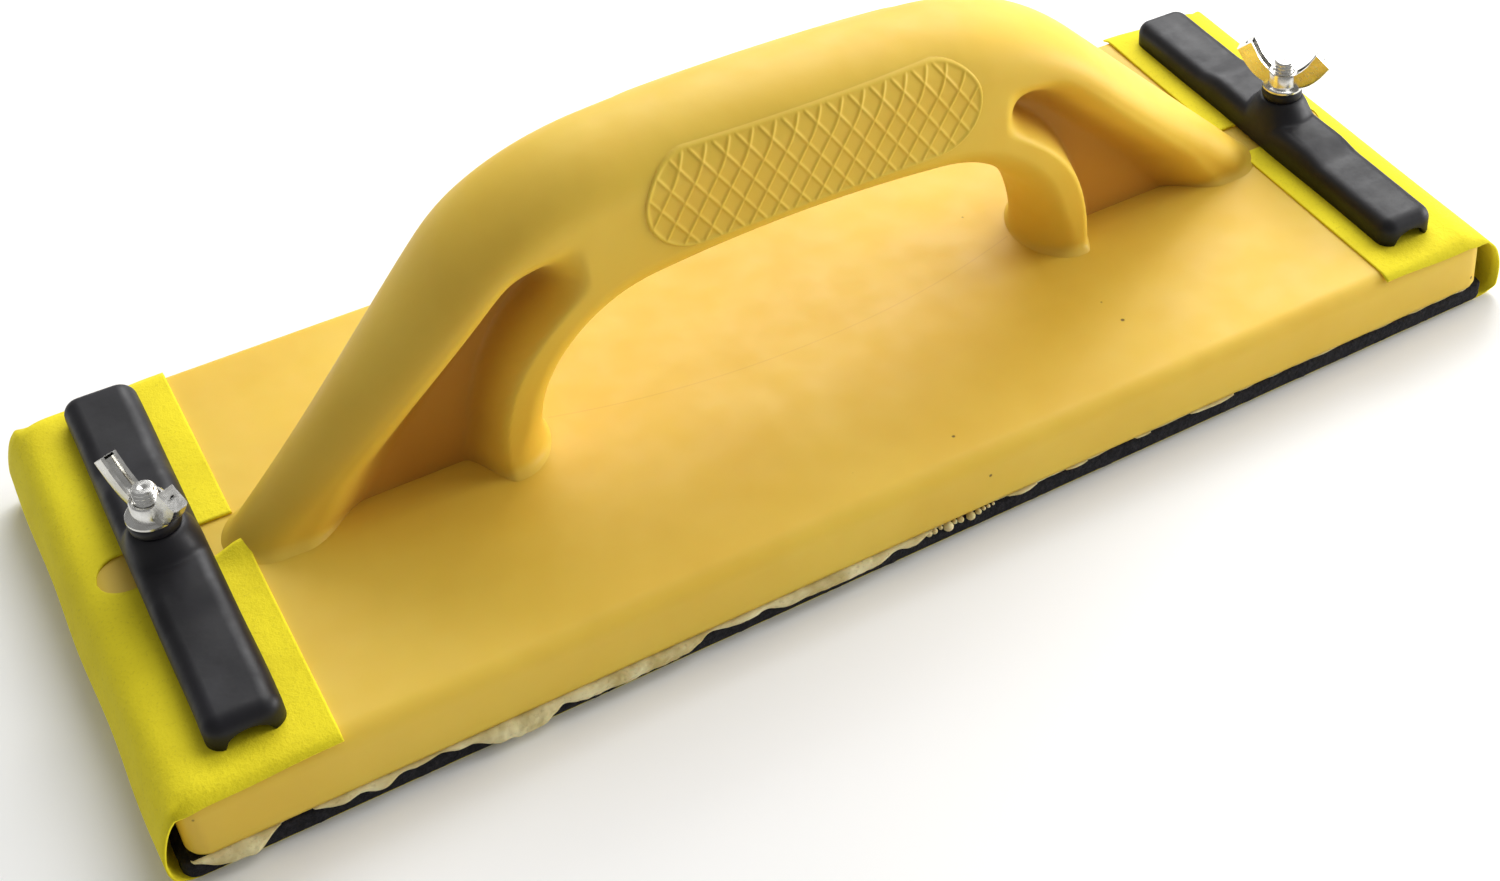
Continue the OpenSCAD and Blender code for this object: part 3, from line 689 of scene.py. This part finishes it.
def makeNut(name, side, angle, body, node):
    # flange and collar on a lathe, plus two wings
    q = nut
    b = q["base"]
    x0 = side * boltX
    profile = [(q["bore"], b), (q["flange"] - 0.3, b), (q["flange"], b + 0.25), (q["flange"] - 0.05, b + 0.7),
               (q["flange"] - 0.35, b + 0.95), (q["collar"] + 0.5, b + 1.0), (q["collar"] + 0.12, b + 1.2),
               (q["collar"], b + 1.7), (q["collar"] - 0.08, b + q["height"] - 0.35),
               (q["collar"] - 0.35, b + q["height"]), (q["bore"] + 0.35, b + q["height"]),
               (q["bore"], b + q["height"] - 0.4), (q["bore"], b)]
    parts = [(turned(profile, 72, x0), False, True)]
    for turn in (angle, angle + 180):
        parts.append((wingTray(turn, x0), True, False))
    return makePiece(name, parts, zincMaterial, body, [node], weld=0.004, sharp=38)


bolt = dict(pitch=1.0, radius=2.5, root=2.0, low=18.5, top=44.0, lead=0.55, head=9.2, headLow=8.6, headHigh=12.1,
            shank=2.45, count=56, rowsPerTurn=12, capRadii=[1.9, 1.6, 1.0, 0.55, 0.3, 0.001],
            capHeights=[0.0, 0.02, 0.02, 0.0, -0.18, -0.28])


def makeBolt(name, side, node):
    # thread: radius falls from crest to root once per pitch as the angle and height advance;
    # the real 0.8 mm pitch is drawn as 1.0 mm, since it would be too fine to show
    q = bolt
    x0, count = side * boltX, q["count"]
    z = np.arange(q["low"], q["top"] + 1e-6, q["pitch"] / q["rowsPerTurn"])[:, None]
    a = np.linspace(0, 2 * np.pi, count, endpoint=False)[None, :]
    phase = (z / q["pitch"] - a / (2 * np.pi)) % 1
    tooth = np.clip(np.abs(phase - 0.5) * 2.5 - 0.15, 0, 1)
    r = q["root"] + (q["radius"] - q["root"]) * tooth
    r = np.minimum(r, q["radius"] - 0.75 * np.clip(z - (q["top"] - q["lead"]), 0, 9))
    thread = np.stack([x0 + r * np.cos(a), r * np.sin(a), z + 0 * a], -1)
    capHeights = q["top"] + np.array(q["capHeights"])
    cap = turned(np.c_[np.minimum(q["capRadii"], r[-1].min()), capHeights], count, x0)
    shank = turned([(0.001, q["headHigh"]), (q["shank"], q["headHigh"]), (q["shank"], q["low"] + 0.1)], count, x0)
    reach, headLow, headHigh = q["head"] / 2, q["headLow"], q["headHigh"]
    head = turned([(0.001, headLow), (reach - 0.5, headLow), (reach, headLow + 0.4), (reach, headHigh - 0.2),
                   (reach - 0.3, headHigh), (0.001, headHigh)], 6, x0)
    parts = [(np.concatenate([thread, cap]), False, True), (shank, False, True), (head, False, True)]
    return makePiece(name, parts, zincMaterial, "float", [node], weld=0.002, sharp=60)


anchor = dict(width=26, corner=2, insets=[11, 0.2, 0, 0, 0.2, 11], heights=[12.1, 12.1, 12.3, 13.4, 13.6, 13.6])


def makeAnchor(name, side, node):
    # square plate with rounded corners and an opening for the bolt, hidden inside the moulding
    q = anchor
    grid = ringedPlan(q["width"], q["width"], q["corner"], q["insets"], q["heights"], (8, 8), 6)
    grid[..., 0] += side * boltX
    return makePiece(name, [(grid, True, True)], zincMaterial, "float", [node], sharp=40)


makePlate()
makeHandle()
makePanel("gripPanelFront", -1)
makePanel("gripPanelBack", 1)
makePad()
makeBond()
makeSheet()
for sideName, side, wingAngle in (("left", -1, -67.0), ("right", 1, -53.8)):
    makeBar(sideName + "ClampBar", side, sideName + "_bar", sideName + "_clamp_bar")
    makeWasher(sideName + "Washer", side, sideName + "_clamp", sideName + "_washer")
    makeNut(sideName + "WingNut", side, wingAngle, sideName + "_nut", sideName + "_wing_nut")
    makeBolt(sideName + "Bolt", side, sideName + "_bolt")
    makeAnchor(sideName + "AnchorPlate", side, sideName + "_anchor_plate")

studio = dict(floor="#FDFDFC", floorWorn="#F6F6F5", sky="#FFFFFF", skyPower=0.30, skySeen=0.86, aim=(0, 0, 0.04),
              window=((0.65, 1.0, 0.95), (1.2, 1.0), 21.0), doorway=((1.25, -0.32, 0.3), (0.8, 0.5), 13.0),
              ceiling=((0.95, 0.25, 1.3), (1.4, 1.4), 13.0))  # each light's place, size and power


def makeStage():
    # one large square of painted board
    mesh = bpy.data.meshes.new("floor")
    mesh.from_pydata([(-6, -6, 0), (6, -6, 0), (6, 6, 0), (-6, 6, 0)], [], [(0, 1, 2, 3)])
    floor = bpy.data.objects.new("floor", mesh)
    bpy.context.scene.collection.objects.link(floor)
    m, t, s, place = startMaterial("painted_board", Roughness=0.9)
    colour = blendColour(t, noise(t, place, 400, 2), srgb(studio["floor"]), srgb(studio["floorWorn"]))
    t.links.new(colour, s.inputs["Base Color"])
    mesh.materials.append(m)


def areaLight(name):
    where, size, power = studio[name]
    light = bpy.data.lights.new(name, "AREA")
    light.shape, light.size, light.size_y, light.energy = "RECTANGLE", *size, power
    lamp = bpy.data.objects.new(name, light)
    lamp.location = where
    lamp.rotation_euler = (Vector(studio["aim"]) - Vector(where)).to_track_quat("-Z", "Y").to_euler()
    bpy.context.scene.collection.objects.link(lamp)


def makeLights():
    world = bpy.data.worlds.new("studio")
    bpy.context.scene.world = world
    world.use_nodes = True
    tree = world.node_tree
    sky = tree.nodes["Background"]
    sky.inputs["Color"].default_value = srgb(studio["sky"])
    seen = addNode(tree, "ShaderNodeLightPath").outputs["Is Camera Ray"]  # the room looks pale but lights softly
    tree.links.new(remap(tree, seen, 0, 1, studio["skyPower"], studio["skySeen"]), sky.inputs["Strength"])
    for name in ("window", "doorway", "ceiling"):
        areaLight(name)
    print("lights placed")


def makeCamera():
    # looks 34 degrees right of +Y and 41 degrees down, with a slight roll
    lens = dict(place=(-0.1540, -0.3523, 0.3486), yaw=34.024, pitch=41.075, roll=1.052, focal=51.44, sensor=36,
                shift=(-0.2262, -0.0697), clip=(0.01, 50))
    yaw, pitch, roll = (math.radians(lens[k]) for k in ("yaw", "pitch", "roll"))
    ahead = Vector((math.sin(yaw) * math.cos(pitch), math.cos(yaw) * math.cos(pitch), -math.sin(pitch)))
    right = ahead.cross(Vector((0, 0, 1))).normalized()
    up = right.cross(ahead)
    right, up = right * math.cos(roll) + up * math.sin(roll), up * math.cos(roll) - right * math.sin(roll)
    data = bpy.data.cameras.new("camera")
    data.sensor_width, data.lens = lens["sensor"], lens["focal"]
    data.shift_x, data.shift_y = lens["shift"]
    data.clip_start, data.clip_end = lens["clip"]
    camera = bpy.data.objects.new("camera", data)
    camera.matrix_world = Matrix(((right.x, up.x, -ahead.x, lens["place"][0]),
                                  (right.y, up.y, -ahead.y, lens["place"][1]),
                                  (right.z, up.z, -ahead.z, lens["place"][2]), (0, 0, 0, 1)))
    bpy.context.scene.collection.objects.link(camera)
    bpy.context.scene.camera = camera


makeStage()
makeLights()
makeCamera()
bpy.context.scene.view_settings.view_transform = "Standard"  # plain sRGB, so that the colours stay as given
